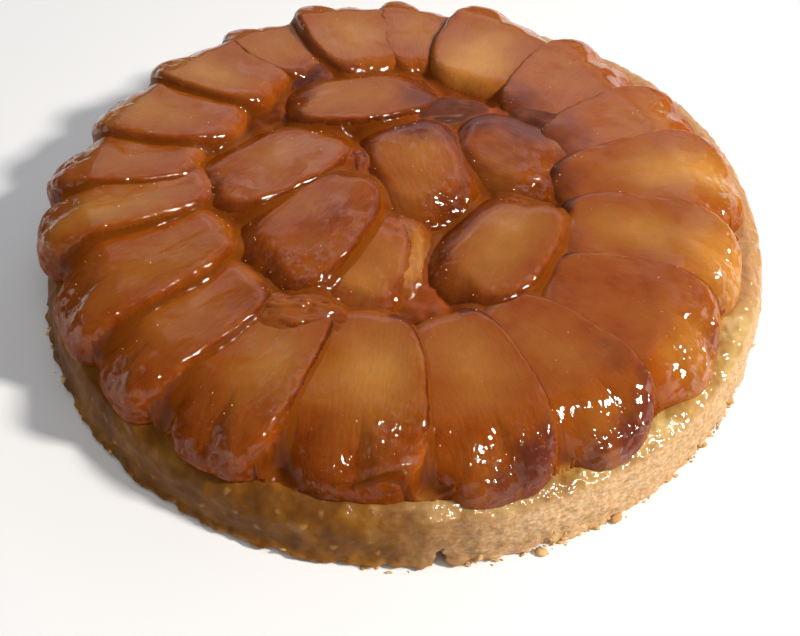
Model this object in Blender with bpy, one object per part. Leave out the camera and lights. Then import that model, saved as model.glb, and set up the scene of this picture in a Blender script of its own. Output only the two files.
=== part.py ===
"""Upside-down apple tart: a pastry base, a bed of set caramel, and a ring and a rosette of cooked apple.

Metres, +Z up. The tart rests on z = 0, and the origin is the middle of its underside.
Front is -Y. Angles are in degrees, anticlockwise from +X as seen from above.
"""

import math
from collections import namedtuple

import bmesh
import bpy
from mathutils import Vector, noise

MM = 0.001

# Pastry base
CRUST_RADIUS = 115 * MM
CRUST_FLOOR = 13.0 * MM
CRUST_SHOULDER = 19.5 * MM
SHOULDER_RADIUS = 104.5 * MM
FLOOR_RADIUS = 95 * MM
CRUST_STEPS = 104
JAGGED = 0.9 * MM
WAVY = 0.35 * MM
BULGE = 2.3 * MM
BULGE_ANGLE = 18.0
RIM_RISE = 3.5 * MM
RIM_SPREAD = 1.8 * MM
RIM_RISE_ANGLE = 30.0
CRACK_ANGLE = -83.8
CRACK_WIDTH = 2.8 * MM
CRACK_HEIGHT = 5.5 * MM
CRACK_DEPTH = 4.5 * MM
CRACK_LEAN = 0.2

# Caramel bed
CARAMEL_RADIUS = 95 * MM
CARAMEL_UNDER_APPLE = 2.4 * MM
CARAMEL_LEVEL = 27 * MM
CARAMEL_STEPS = 48

# Apple. The outline of a slice is between an ellipse (2) and a rectangle (large), and a little uneven.
GAP = 0.3 * MM
APPLE_BASE = CRUST_FLOOR + CARAMEL_UNDER_APPLE + GAP
SLICE_STEPS = 18
SLICE_SQUARENESS = 2.9
SLICE_UNEVEN = 0.09
RISE_ANGLES = (0, 27, 48, 68)
TUCK = 0.90
SHOULDER_HEIGHT = 0.42

# Scraps
SCRAP_STEPS = 12
SCRAP_LEVELS = (-60, -25, 10, 45)
SCRAP_UNEVEN = 0.22

# Edge squareness of a slice, by the way it faces: outer end, sharp cut side, inner end, round peel side.
RING_EDGES = (2.3, 6.5, 2.8, 2.2)

# One cooked slice: middle, heading of its long axis from inner to outer end, half length, half widths at
# the inner and the outer end, height of its top above the table, rise of the top from inner to outer end,
# and from the peel side to the cut side.
Slice = namedtuple("Slice", "x y heading half_length tail_width head_width top pitch roll edges seed")

# Outer ring, anticlockwise from the right, in millimetres and degrees, in the order of Slice.
RING = (
    ("apple_ring_01", 77.5, 7.0, 11, 32.0, 12.0, 21.5, 37.0, -0.5, 1.5),
    ("apple_ring_02", 70.5, 32.5, 31, 30.0, 10.0, 17.5, 36.0, -1.5, 1.5),
    ("apple_ring_03", 55.0, 53.5, 49, 29.5, 12.0, 20.0, 37.0, -1.0, 1.5),
    ("apple_ring_04", 31.0, 73.5, 66, 27.5, 16.0, 20.0, 38.0, -1.0, 1.0),
    ("apple_ring_05", 6.5, 81.0, 88, 25.0, 11.0, 16.0, 37.0, -0.5, 1.0),
    ("apple_ring_06", -19.0, 79.5, 108, 26.5, 12.0, 19.0, 38.5, -0.5, 1.5),
    ("apple_ring_07", -43.0, 73.5, 127, 24.0, 11.0, 15.5, 36.0, -1.5, 1.5),
    ("apple_ring_08", -61.0, 57.0, 144, 25.0, 14.0, 18.0, 38.0, -1.0, 2.0),
    ("apple_ring_09", -77.0, 34.5, 163, 26.0, 14.5, 17.5, 37.5, -1.0, 2.0),
    ("apple_ring_10", -86.0, 11.5, 178, 26.0, 12.5, 14.5, 37.0, -1.0, 2.0),
    ("apple_ring_11", -83.0, -8.5, 191, 29.0, 9.5, 18.0, 38.0, -0.5, 2.0),
    ("apple_ring_12", -73.5, -34.5, 211, 29.5, 13.5, 19.0, 37.5, -1.0, 2.5),
    ("apple_ring_13", -59.5, -56.0, 220, 27.0, 15.0, 15.5, 36.5, -1.0, 2.5),
    ("apple_ring_14", -37.0, -71.0, 239, 29.0, 12.0, 19.0, 37.0, -0.5, 2.0),
    ("apple_ring_15", -7.5, -79.0, 263, 29.0, 12.5, 22.5, 37.5, -0.5, 1.5),
    ("apple_ring_16", 23.0, -78.5, 287, 30.5, 12.0, 19.0, 37.0, -0.5, 1.0),
    ("apple_ring_17", 47.0, -68.0, 311, 31.5, 9.0, 19.5, 37.0, 0.0, 1.0),
    ("apple_ring_18", 68.5, -48.0, 340, 29.5, 15.5, 20.0, 36.5, -0.5, 1.0),
    ("apple_ring_19", 77.0, -20.0, 348, 31.0, 14.5, 19.0, 36.5, -0.5, 1.0),
)

# Rosette in the middle, in millimetres and degrees, in the order of Slice.
ROSETTE = (
    ("apple_mid_01", -13, 43.0, 191, 25, 13.5, 14.5, 38.5, 0.0, 2.0, (2.6, 6.5, 2.6, 2.2)),
    ("apple_mid_02", -41, 10.0, 216, 26, 15.5, 16.5, 38.0, 0.0, 2.0, (2.4, 6.5, 2.8, 2.2)),
    ("apple_mid_03", -27.5, -17.5, 240, 26, 15.5, 19.0, 39.0, -1.0, 2.0, (2.4, 6.0, 2.8, 2.3)),
    ("apple_mid_04", 6, 9.5, 286, 23.5, 17.0, 15.5, 38.0, -1.0, 0.0, (2.4, 2.8, 2.6, 2.8)),
    ("apple_mid_05", 37, 17, 330, 22, 15.0, 18.0, 37.0, -1.0, 0.5, (2.4, 3.0, 2.6, 2.6)),
    ("apple_mid_06", 29.5, -25, 238, 23, 14.5, 17.5, 38.0, -1.0, 2.0, (2.4, 6.5, 2.6, 2.2)),
    ("apple_mid_07", -8, -29.5, 258, 24, 9.0, 11.0, 36.0, 0.0, 0.0, (2.6, 3.0, 2.6, 2.6)),
    ("apple_mid_08", 5.5, -27.5, 263, 20, 7.0, 5.0, 33.5, -1.5, 0.0, (2.6, 2.6, 2.6, 2.6)),
)

# Scraps caught in the seams: middle x, y and z, heading, half length, half width, half thickness.
SCRAPS = (
    ("candied_peel_01", -13, 12, 33.5, 100, 6.5, 4.5, 4.0),
    ("candied_peel_02", -29, 56, 32.5, 35, 9.0, 6.0, 4.0),
    ("candied_peel_03", 12, 38, 33.5, 8, 17.0, 6.0, 4.5),
    ("candied_peel_04", 48, 33, 33.5, 335, 12.0, 5.5, 4.5),
    ("apple_scrap_01", -26, -55, 35.5, 175, 10.0, 6.0, 4.0),
    ("apple_scrap_02", 50, -7, 28.0, 60, 3.8, 3.0, 3.5),
)

COLOURS = {
    "crust": ((0.52, 0.31, 0.12, 1), 0.55),
    "caramel": ((0.30, 0.09, 0.012, 1), 0.18),
    "apple": ((0.50, 0.20, 0.045, 1), 0.25),
    "candied": ((0.16, 0.035, 0.018, 1), 0.2),
}


def clear_scene():
    for leftover in list(bpy.data.objects):
        bpy.data.objects.remove(leftover)


def material_for(kind):
    """The plain finish of one foodstuff."""
    if kind in bpy.data.materials:
        return bpy.data.materials[kind]
    colour, roughness = COLOURS[kind]
    made = bpy.data.materials.new(kind)
    made.use_nodes = True
    shader = made.node_tree.nodes["Principled BSDF"]
    shader.inputs["Base Color"].default_value = colour
    shader.inputs["Roughness"].default_value = roughness
    shader.inputs["Metallic"].default_value = 0.0
    return made


def stacked_mesh(name, rings, foot, peak):
    """A closed mesh from rings of equal length, lowest first, closed by a foot and a peak point."""
    build = bmesh.new()
    rows = [[build.verts.new(point) for point in ring] for ring in rings]
    count = len(rows[0])
    bottom = build.verts.new(foot)
    top = build.verts.new(peak)
    for i in range(count):
        j = (i + 1) % count
        build.faces.new((bottom, rows[0][j], rows[0][i]))
        build.faces.new((rows[-1][i], rows[-1][j], top))
        for lower, upper in zip(rows, rows[1:]):
            build.faces.new((lower[i], lower[j], upper[j], upper[i]))
    mesh = bpy.data.meshes.new(name)
    build.to_mesh(mesh)
    build.free()
    mesh.shade_smooth()
    mesh.set_sharp_from_angle(angle=math.radians(50))
    return mesh


def add_object(name, mesh, kind):
    made = bpy.data.objects.new(name, mesh)
    bpy.context.scene.collection.objects.link(made)
    mesh.materials.append(material_for(kind))
    return made


def add_cutter(name, mesh):
    """A helper that is only cut with."""
    made = bpy.data.objects.new(name, mesh)
    bpy.context.scene.collection.objects.link(made)
    made.hide_render = True
    made.display_type = "WIRE"
    return made


def cut_by(target, cutters, solver="EXACT"):
    """Takes every cutter away from the target, in one Boolean."""
    group = bpy.data.collections.new("around_" + target.name)
    for cutter in cutters:
        group.objects.link(cutter)
    cut = target.modifiers.new("cut", "BOOLEAN")
    cut.operation = "DIFFERENCE"
    cut.operand_type = "COLLECTION"
    cut.collection = group
    cut.solver = solver


def slice_from(row, seed):
    """The slice that a row describes, in metres. A ring slice's edges are all alike."""
    name, x, y, heading, half_length, tail, head, top, pitch, roll, *edges = row
    lengths = [value * MM for value in (half_length, tail, head, top, pitch, roll)]
    return name, Slice(x * MM, y * MM, heading, *lengths, edges[0] if edges else RING_EDGES, seed)


def edge_squareness(edges, turn):
    """How square the shoulder is at this turn round the outline, blended between the four sides."""
    head, cut, tail, peel = edges
    along, across = math.cos(turn), math.sin(turn)
    end = head if along > 0 else tail
    side = cut if across > 0 else peel
    share = across * across
    return end * (1 - share) + side * share


def slice_mesh(name, shape, grow=0.0):
    """A cooked apple slice: a pillow with one square shoulder, on a rounded-rectangle outline."""
    half_length = shape.half_length + grow
    base = APPLE_BASE - grow
    height = shape.top + grow - base
    turn_to = math.radians(shape.heading)
    forward = Vector((math.cos(turn_to), math.sin(turn_to), 0))
    left = Vector((-forward.y, forward.x, 0))
    middle = Vector((shape.x, shape.y, 0))

    def outline(turn):
        """How far out the edge is at this turn, along and across the slice, as shares of its half sizes."""
        along, across = math.cos(turn), math.sin(turn)
        reach = (abs(along) ** SLICE_SQUARENESS + abs(across) ** SLICE_SQUARENESS) ** (-1 / SLICE_SQUARENESS)
        wobble = noise.noise(Vector((along * 0.9 + shape.seed * 7.3, across * 0.9, shape.seed * 1.7)))
        reach *= 1 + SLICE_UNEVEN * wobble
        return along * reach, across * reach

    def place(turn, share, z, tilt):
        """The point at this share of the way out to the edge, with this share of the slice's tilt."""
        along, across = outline(turn)
        half_width = (shape.tail_width * (1 - along) + shape.head_width * (1 + along)) / 2 + grow
        z += tilt * share * (shape.pitch * along + shape.roll * across)
        spot = middle + forward * along * half_length * share + left * across * half_width * share
        return spot + Vector((0, 0, z))

    turns = [math.tau * i / SLICE_STEPS for i in range(SLICE_STEPS)]
    rings = [[place(turn, TUCK, base, 0) for turn in turns]]
    rim = base + height * SHOULDER_HEIGHT
    for rise in RISE_ANGLES:
        ring = []
        for turn in turns:
            squareness = edge_squareness(shape.edges, turn)
            lift = math.sin(math.radians(rise)) ** (2 / squareness)
            share = math.cos(math.radians(rise)) ** (2 / squareness)
            ring.append(place(turn, share, rim + (base + height - rim) * lift, lift))
        rings.append(ring)
    foot = middle + Vector((0, 0, base))
    peak = middle + Vector((0, 0, base + height))
    return stacked_mesh(name, rings, foot, peak)


def scrap_mesh(name, row, grow=0.0):
    """A small flattened lump caught between slices."""
    x, y, z, heading, half_length, half_width, half_height = row
    turn_to = math.radians(heading)
    forward = Vector((math.cos(turn_to), math.sin(turn_to), 0))
    left = Vector((-forward.y, forward.x, 0))
    middle = Vector((x, y, z)) * MM
    rings = []
    for level in SCRAP_LEVELS:
        rise = math.radians(level)
        ring = []
        for i in range(SCRAP_STEPS):
            turn = math.tau * i / SCRAP_STEPS
            spot = Vector((math.cos(turn) + x, math.sin(turn) + y, level * 0.01))
            share = math.cos(rise) * (1 + SCRAP_UNEVEN * noise.noise(spot))
            along = (half_length * MM + grow) * math.cos(turn) * share
            across = (half_width * MM + grow) * math.sin(turn) * share
            height = (half_height * MM + grow) * math.sin(rise)
            ring.append(middle + forward * along + left * across + Vector((0, 0, height)))
        rings.append(ring)
    reach = Vector((0, 0, half_height * MM + grow))
    return stacked_mesh(name, rings, middle - reach, middle + reach)


def crust_profile(grow=0.0):
    """Rings of the pastry from its foot over the rim to its floor: radius, height, and the shares of the
    jaggedness, of the bulge of its wall and of the rise of its rim."""
    rim = CRUST_SHOULDER + grow
    return (
        (CRUST_RADIUS - 1.4 * MM + grow, 0.0 - grow, 0.5, 0.5, 0.0),
        (CRUST_RADIUS + grow, 1.4 * MM, 1.0, 0.5, 0.0),
        (CRUST_RADIUS - 0.4 * MM + grow, 4.2 * MM, 0.5, 0.8, 0.0),
        (CRUST_RADIUS - 0.8 * MM + grow, 8.5 * MM, 0.25, 1.0, 0.2),
        (CRUST_RADIUS - 1.8 * MM + grow, 13.2 * MM, 0.2, 1.0, 0.6),
        (CRUST_RADIUS - 4.0 * MM + grow, rim - 2.6 * MM, 0.25, 1.2, 1.0),
        (SHOULDER_RADIUS + 2.6 * MM, rim - 0.2 * MM, 0.3, 1.2, 1.0),
        (SHOULDER_RADIUS - 2.2 * MM, rim - 0.6 * MM, 0.3, 0.4, 0.4),
        (FLOOR_RADIUS - grow, CRUST_FLOOR + 1.0 * MM + grow, 0.0, 0.0, 0.0),
        (FLOOR_RADIUS - 4 * MM - grow, CRUST_FLOOR + grow, 0.0, 0.0, 0.0),
    )


def crust_mesh(name, grow=0.0):
    """The pastry: a thick disc with a low rim. Its foot is crumbly, its wall a little out of round, and its
    rim higher where it rose beside the apple."""
    rings = []
    for level, (radius, z, jagged, bulging, rising) in enumerate(crust_profile(grow)):
        ring = []
        for i in range(CRUST_STEPS):
            angle = math.tau * i / CRUST_STEPS
            across, along = math.cos(angle), math.sin(angle)
            wave = noise.noise(Vector((across * 1.6, along * 1.6, 3.1)))
            crumb = noise.noise(Vector((across * 23, along * 23, 5.7 + level * 0.8)))
            pit = noise.noise(Vector((across * 17, along * 17, level * 2.3)))
            bulge = BULGE * bulging * math.cos(angle - math.radians(BULGE_ANGLE))
            risen = rising * max(0, math.cos(angle - math.radians(RIM_RISE_ANGLE))) ** 3
            r = radius + bulge + RIM_SPREAD * risen + 2 * WAVY * wave + 2 * JAGGED * jagged * crumb
            lift = RIM_RISE * risen + (JAGGED * jagged * pit if level else 0)
            ring.append((r * across, r * along, z + lift))
        rings.append(ring)
    foot = (0, 0, rings[0][0][2])
    peak = (0, 0, rings[-1][0][2])
    return stacked_mesh(name, rings, foot, peak)


def crack_mesh(name, angle_degrees):
    """A wedge as long as the crack is deep, with its edge up."""
    angle = math.radians(angle_degrees)
    outward = Vector((math.cos(angle), math.sin(angle), 0))
    aside = Vector((-outward.y, outward.x, 0))
    near, far = outward * (CRUST_RADIUS - CRACK_DEPTH), outward * (CRUST_RADIUS + CRACK_DEPTH)
    below = Vector((0, 0, -2 * MM))
    edge = aside * CRACK_WIDTH * CRACK_LEAN + Vector((0, 0, CRACK_HEIGHT))
    build = bmesh.new()
    ends = []
    for spot in (near, far):
        corners = (spot - aside * CRACK_WIDTH / 2 + below, spot + aside * CRACK_WIDTH / 2 + below, spot + edge)
        ends.append([build.verts.new(corner) for corner in corners])
    build.faces.new(ends[0])
    build.faces.new(reversed(ends[1]))
    for i in range(3):
        j = (i + 1) % 3
        build.faces.new((ends[0][j], ends[0][i], ends[1][i], ends[1][j]))
    bmesh.ops.recalc_face_normals(build, faces=build.faces)
    mesh = bpy.data.meshes.new(name)
    build.to_mesh(mesh)
    build.free()
    return mesh


def caramel_mesh(name):
    """The caramel before the apple is pressed into it: a shallow dome over the pastry's floor and rim."""
    low = CRUST_FLOOR + GAP
    profile = (
        (CARAMEL_RADIUS - 8 * MM, low),
        (CARAMEL_RADIUS, low + 2 * MM),
        (CARAMEL_RADIUS, CRUST_SHOULDER + 0.5 * MM),
        (CARAMEL_RADIUS - 4 * MM, CRUST_SHOULDER + 3.5 * MM),
        (84 * MM, CARAMEL_LEVEL - 1 * MM),
        (60 * MM, CARAMEL_LEVEL),
        (30 * MM, CARAMEL_LEVEL - 0.5 * MM),
    )
    rings = [
        [
            (r * math.cos(math.tau * i / CARAMEL_STEPS), r * math.sin(math.tau * i / CARAMEL_STEPS), z)
            for i in range(CARAMEL_STEPS)
        ]
        for r, z in profile
    ]
    return stacked_mesh(name, rings, (0, 0, low), (0, 0, CARAMEL_LEVEL - 1 * MM))


def boxes_meet(one, other):
    """Whether two objects' boxes overlap, so that a cut between them can matter."""
    lows = [[min(v.co[k] for v in o.data.vertices) for k in range(3)] for o in (one, other)]
    highs = [[max(v.co[k] for v in o.data.vertices) for k in range(3)] for o in (one, other)]
    return all(lows[0][k] < highs[1][k] and lows[1][k] < highs[0][k] for k in range(3))


def build_tart():
    clear_scene()
    slices = [slice_from(row, seed) for seed, row in enumerate(RING + ROSETTE)]

    crust = add_object("crust", crust_mesh("crust"), "crust")
    cut_by(crust, [add_cutter("crack", crack_mesh("crack", CRACK_ANGLE))])
    crust_room = add_cutter("crust_room", crust_mesh("crust_room", GAP))

    apples, rooms = [], []
    for name, shape in slices:
        apples.append(add_object(name, slice_mesh(name, shape), "apple"))
        rooms.append(add_cutter("room_of_" + name, slice_mesh("room_of_" + name, shape, GAP)))
    for i, apple in enumerate(apples):
        if i < len(RING):
            before = [rooms[(i - 1) % len(RING)]]
        else:
            before = rooms[:i]
        cut_by(apple, [crust_room] + [room for room in before if boxes_meet(apple, room)])

    caramel = add_object("caramel", caramel_mesh("caramel"), "caramel")
    scraps = []
    for name, *row in SCRAPS:
        kind = "candied" if name.startswith("candied") else "apple"
        scrap = add_object(name, scrap_mesh(name, row), kind)
        cut_by(scrap, [room for room in rooms if boxes_meet(scrap, room)], "MANIFOLD")
        scraps.append(add_cutter("room_of_" + name, scrap_mesh("room_of_" + name, row, GAP)))
    cut_by(caramel, [crust_room] + rooms + scraps)


build_tart()
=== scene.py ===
import math
from collections import namedtuple

import bmesh
import bpy
import numpy as np
from mathutils import Matrix, Vector, noise
from mathutils.bvhtree import BVHTree


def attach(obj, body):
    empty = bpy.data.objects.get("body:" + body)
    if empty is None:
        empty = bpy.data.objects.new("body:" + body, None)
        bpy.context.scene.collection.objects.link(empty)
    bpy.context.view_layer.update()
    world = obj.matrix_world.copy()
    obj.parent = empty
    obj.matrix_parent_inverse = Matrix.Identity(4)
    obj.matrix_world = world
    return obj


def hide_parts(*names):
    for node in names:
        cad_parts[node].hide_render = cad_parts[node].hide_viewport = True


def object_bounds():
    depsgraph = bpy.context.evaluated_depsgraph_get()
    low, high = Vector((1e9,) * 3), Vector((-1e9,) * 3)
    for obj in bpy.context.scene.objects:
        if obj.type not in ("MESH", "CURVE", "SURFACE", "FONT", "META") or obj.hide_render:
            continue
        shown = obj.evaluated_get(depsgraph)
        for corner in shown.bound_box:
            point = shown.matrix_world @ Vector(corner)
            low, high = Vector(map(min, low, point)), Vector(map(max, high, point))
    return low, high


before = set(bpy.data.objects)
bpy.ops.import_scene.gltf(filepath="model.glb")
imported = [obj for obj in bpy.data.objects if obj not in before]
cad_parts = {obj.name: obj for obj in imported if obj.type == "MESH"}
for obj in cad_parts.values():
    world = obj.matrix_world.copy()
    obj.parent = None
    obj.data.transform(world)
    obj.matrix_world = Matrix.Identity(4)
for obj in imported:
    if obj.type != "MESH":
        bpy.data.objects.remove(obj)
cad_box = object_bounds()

MM = 0.001

# Camera, in the photograph's frame of 800 x 636, where the panels of light aim, and the floor
CAMERA_AT = Vector((0.0, -285.3, 297.5)) * MM
CAMERA_AIM = Vector((1.0, -23.2, 0.0)) * MM
CAMERA_ROLL = 0.83
CAMERA_LENS = 55.9
LIGHTS_AIM = Vector((0, 0, 20)) * MM
FLOOR_SIZE = 6.0

# Pastry, as the solid has it; angles are in degrees, from the right, anticlockwise
CRUST_RADIUS = 115 * MM
CRUST_FLOOR = 13.0 * MM
CRUST_SHOULDER = 19.5 * MM
SHOULDER_RADIUS = 104.5 * MM
FLOOR_RADIUS = 95 * MM
BULGE = 2.3 * MM
BULGE_ANGLE = 18.0
RIM_RISE = 3.5 * MM
RIM_SPREAD = 1.8 * MM
RIM_RISE_ANGLE = 30.0
CRUST_TURNS = 1200
CRUST_SPACING = 0.55 * MM
FOOT_LIMIT = 0.4 * MM
CRACK_ANGLE = -83.8
CRACK_WIDTH = 4.4 * MM
CRACK_HEIGHT = 8.0 * MM
CRACK_DEPTH = 6.5 * MM
DRY_FROM = (-99, -62)
DRY_TO = (100, 150)
GOLDEN_FROM = (-30, -8)

# Glaze
GLAZE_RADIUS = 106 * MM
GLAZE_STEP = 0.62 * MM
GLAZE_BALL = 2.4 * MM
CENTRE_BALL = 3.2 * MM
SKIRT_BALL = 4.6 * MM
CENTRE_EDGE = (48 * MM, 62 * MM)
SKIRT_EDGE = (88 * MM, 98 * MM)
GLAZE_UNDER = 0.13 * MM
POOL_HEIGHT = 32.0 * MM
POOL_RADIUS = 78 * MM
ABOVE_ALL = 80 * MM
GLAZE_FOOT = 13.3 * MM

# Crumbs, and bubbles painted pale as highlights; a large crumb is its place and its half sizes, in
# millimetres
FLAKES = 200
CRUMB_SEED = 11
LARGE_CRUMBS = ((40, -108.6, 0.9, 2.0, 1.4, 0.9), (62, -97.5, 1.0, 2.2, 1.2, 0.8))
BIT_TURNS = 8
BIT_RINGS = 5
BUBBLES_EACH = 24
BUBBLE_SEED = 12

# Apple slices, as the solids have them
APPLE_BASE = 15.7 * MM
SLICE_TURNS = 200
SLICE_RINGS = 104
SLICE_SQUARENESS = 2.9
SLICE_UNEVEN = 0.09
PEEL_LAP = 8.0 * MM
TUCK = 0.90
FOOT_WAY = 0.08
WALL_WAY = 0.24
FOOT_SAMPLES = 12
WALL_SAMPLES = 30
TOP_SAMPLES = 260
RING_FLARE = 0.2
ROSETTE_FLARE = 0.22
ROSETTE_LAP = 2.5
SHOULDER_HEIGHT = 0.42
RING_EDGES = (2.15, 8.0, 4.5, 2.4)
END_SHOULDER = 0.20
END_DROOP = 3.2 * MM
COVERED_EDGE = 6.5
PRESSED_FLAT = 0.07
PRESSED_EASE = 0.03
TOP_LIMIT = 40.1 * MM

# One slice: middle, heading of its long axis, half length, half widths at the inner and the outer end,
# height of its top, rise of the top from inner to outer end and from peel side to cut side, and how square
# its edges are at the outer end, the cut side, the inner end and the peel side.
Slice = namedtuple("Slice", "x y heading half_length tail head top pitch roll edges drawn_in seed")

SLICES = (
    ("apple_ring_01", 77.5, 7.0, 11, 32.0, 12.0, 21.5, 37.0, -0.5, 1.5),
    ("apple_ring_02", 70.5, 32.5, 31, 30.0, 10.0, 17.5, 36.0, -1.5, 1.5),
    ("apple_ring_03", 55.0, 53.5, 49, 29.5, 12.0, 20.0, 37.0, -1.0, 1.5),
    ("apple_ring_04", 31.0, 73.5, 66, 27.5, 16.0, 20.0, 38.0, -1.0, 1.0),
    ("apple_ring_05", 6.5, 81.0, 88, 25.0, 11.0, 16.0, 37.0, -0.5, 1.0),
    ("apple_ring_06", -19.0, 79.5, 108, 26.5, 12.0, 19.0, 38.5, -0.5, 1.5),
    ("apple_ring_07", -43.0, 73.5, 127, 24.0, 11.0, 15.5, 36.0, -1.5, 1.5),
    ("apple_ring_08", -61.0, 57.0, 144, 25.0, 14.0, 18.0, 38.0, -1.0, 2.0),
    ("apple_ring_09", -77.0, 34.5, 163, 26.0, 14.5, 17.5, 37.5, -1.0, 2.0),
    ("apple_ring_10", -86.0, 11.5, 178, 26.0, 12.5, 14.5, 37.0, -1.0, 2.0),
    ("apple_ring_11", -83.0, -8.5, 191, 29.0, 9.5, 18.0, 38.0, -0.5, 2.0),
    ("apple_ring_12", -73.5, -34.5, 211, 29.5, 13.5, 19.0, 37.5, -1.0, 2.5),
    ("apple_ring_13", -59.5, -56.0, 220, 27.0, 15.0, 15.5, 36.5, -1.0, 2.5),
    ("apple_ring_14", -37.0, -71.0, 239, 29.0, 12.0, 19.0, 37.0, -0.5, 2.0),
    ("apple_ring_15", -7.5, -79.0, 263, 29.0, 12.5, 22.5, 37.5, -0.5, 1.5),
    ("apple_ring_16", 23.0, -78.5, 287, 30.5, 12.0, 19.0, 37.0, -0.5, 1.0),
    ("apple_ring_17", 47.0, -68.0, 311, 31.5, 9.0, 19.5, 37.0, 0.0, 1.0),
    ("apple_ring_18", 68.5, -48.0, 340, 29.5, 15.5, 20.0, 36.5, -0.5, 1.0),
    ("apple_ring_19", 77.0, -20.0, 348, 31.0, 14.5, 19.0, 36.5, -0.5, 1.0),
    ("apple_mid_01", -13, 43.0, 191, 25, 13.5, 14.5, 38.5, 0.0, 2.0, (2.8, 8.0, 3.0, 2.4)),
    ("apple_mid_02", -41, 10.0, 216, 26, 15.5, 16.5, 38.0, 0.0, 2.0, (2.6, 8.0, 3.4, 2.4)),
    ("apple_mid_03", -27.5, -17.5, 240, 26, 15.5, 19.0, 39.0, -1.0, 2.0, (2.6, 8.0, 3.4, 2.5)),
    ("apple_mid_04", 6, 9.5, 286, 23.5, 17.0, 15.5, 38.0, -1.0, 0.0, (2.6, 3.2, 3.0, 3.0)),
    ("apple_mid_05", 37, 17, 330, 22, 15.0, 18.0, 37.0, -1.0, 0.5, (2.8, 3.4, 3.0, 3.0)),
    ("apple_mid_06", 29.5, -25, 238, 23, 14.5, 17.5, 38.0, -1.0, 2.0, (3.0, 8.0, 3.0, 2.4)),
    ("apple_mid_07", -8, -29.5, 258, 24, 10.5, 12.0, 36.0, 0.0, -0.5, (2.6, 3.4, 2.6, 2.6)),
    ("apple_mid_08", 3.0, -27.5, 263, 20, 7.5, 7.5, 34.6, -1.0, -1.8, (2.4, 2.1, 2.4, 3.6)),
)

# Scraps caught in the seams: middle x, y and z, heading, half length, half width, half thickness.
SCRAPS = (
    ("candied_peel_01", -13, 12, 33.5, 100, 6.5, 4.5, 4.0),
    ("candied_peel_02", -29, 56, 33.0, 35, 10.0, 7.0, 3.2),
    ("candied_peel_03", 12, 35.5, 35.8, 4, 18.0, 7.5, 2.5),
    ("candied_peel_04", 46.5, 30.5, 35.6, 335, 11.5, 6.5, 2.4),
    ("apple_scrap_01", -26, -55.5, 34.9, 172, 13.0, 8.5, 4.2),
    ("apple_scrap_02", 50, -7, 28.0, 60, 3.8, 3.0, 3.5),
)

# Half thickness, in millimetres, up to which a scrap is satin skin, and from which it is glassy all through.
THIN_SCRAP = 2.4
THICK_SCRAP = 4.0
SCRAP_TURNS = 96
SCRAP_RINGS = 48

# How much shorter the front and right slices are at the outer end, where the ledge shows beyond them, and how
# much longer, below zero, those behind are, which cover the rim.
DRAWN_IN = {
    "apple_ring_01": -1.0 * MM,
    "apple_ring_02": -2.5 * MM,
    "apple_ring_03": -2.5 * MM,
    "apple_ring_04": -1.5 * MM,
    "apple_ring_14": 0.5 * MM,
    "apple_ring_15": 2.0 * MM,
    "apple_ring_16": 3.0 * MM,
    "apple_ring_17": 4.0 * MM,
    "apple_ring_18": 4.0 * MM,
    "apple_ring_19": 3.0 * MM,
}

# Where the flesh shows pale through the caramel: place, reach along and across the slice, strength.
PALE = {
    "apple_ring_01": (88, 9, 19, 9, 1.0),
    "apple_ring_02": (80, 36, 15, 10, 0.3),
    "apple_ring_03": (54, 57, 14, 10, 0.2),
    "apple_ring_04": (31, 69, 14, 11, 0.62),
    "apple_ring_05": (7, 80, 13, 9, 0.4),
    "apple_ring_06": (-17, 75, 13, 11, 0.6),
    "apple_ring_07": (-44, 70, 12, 9, 0.4),
    "apple_ring_08": (-65, 53, 15, 9, 0.65),
    "apple_ring_09": (-81, 33.5, 15, 10, 0.55),
    "apple_ring_10": (-86, 9, 13, 8, 0.25),
    "apple_ring_11": (-87, -14, 18, 9, 0.65),
    "apple_ring_12": (-68, -35, 15, 9, 0.35),
    "apple_ring_13": (-60, -56, 13, 9, 0.3),
    "apple_ring_14": (-34.5, -72, 13, 10, 0.6),
    "apple_ring_15": (-6.5, -76, 14, 13, 0.95),
    "apple_ring_16": (20, -72, 14, 10, 0.6),
    "apple_ring_17": (44, -68, 15, 8, 0.25),
    "apple_ring_19": (73, -19, 17, 8, 0.7),
    "apple_mid_01": (-17, 41, 14, 8, 0.35),
    "apple_mid_02": (-37, 10, 11, 8, 0.35),
    "apple_mid_03": (-30, -8, 11, 9, 0.12),
    "apple_mid_04": (7, 13, 11, 9, 0.45),
    "apple_mid_06": (33, -22, 12, 9, 0.75),
    "apple_mid_07": (-9, -33, 15, 7, 0.12),
    "apple_mid_08": (3, -30, 15, 8, 0.5),
}

# Where the caramel stands deep and red: place and reach.
JELLY_POOLS = (
    (12, -41, 11),
    (15, -33, 7),
    (-27, 62, 8),
    (-12, 12, 6),
    (10, 38, 12),
    (30, 38, 10),
    (50, 30, 9),
)

# How torn the flesh is, and which skin keeps only this share of its wrinkles.
TORN = {"apple_mid_08": 0.7, "apple_mid_07": 0.1, "apple_mid_04": 0.06}
SMOOTH_SKIN = {"apple_mid_06": 0.25}

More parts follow.
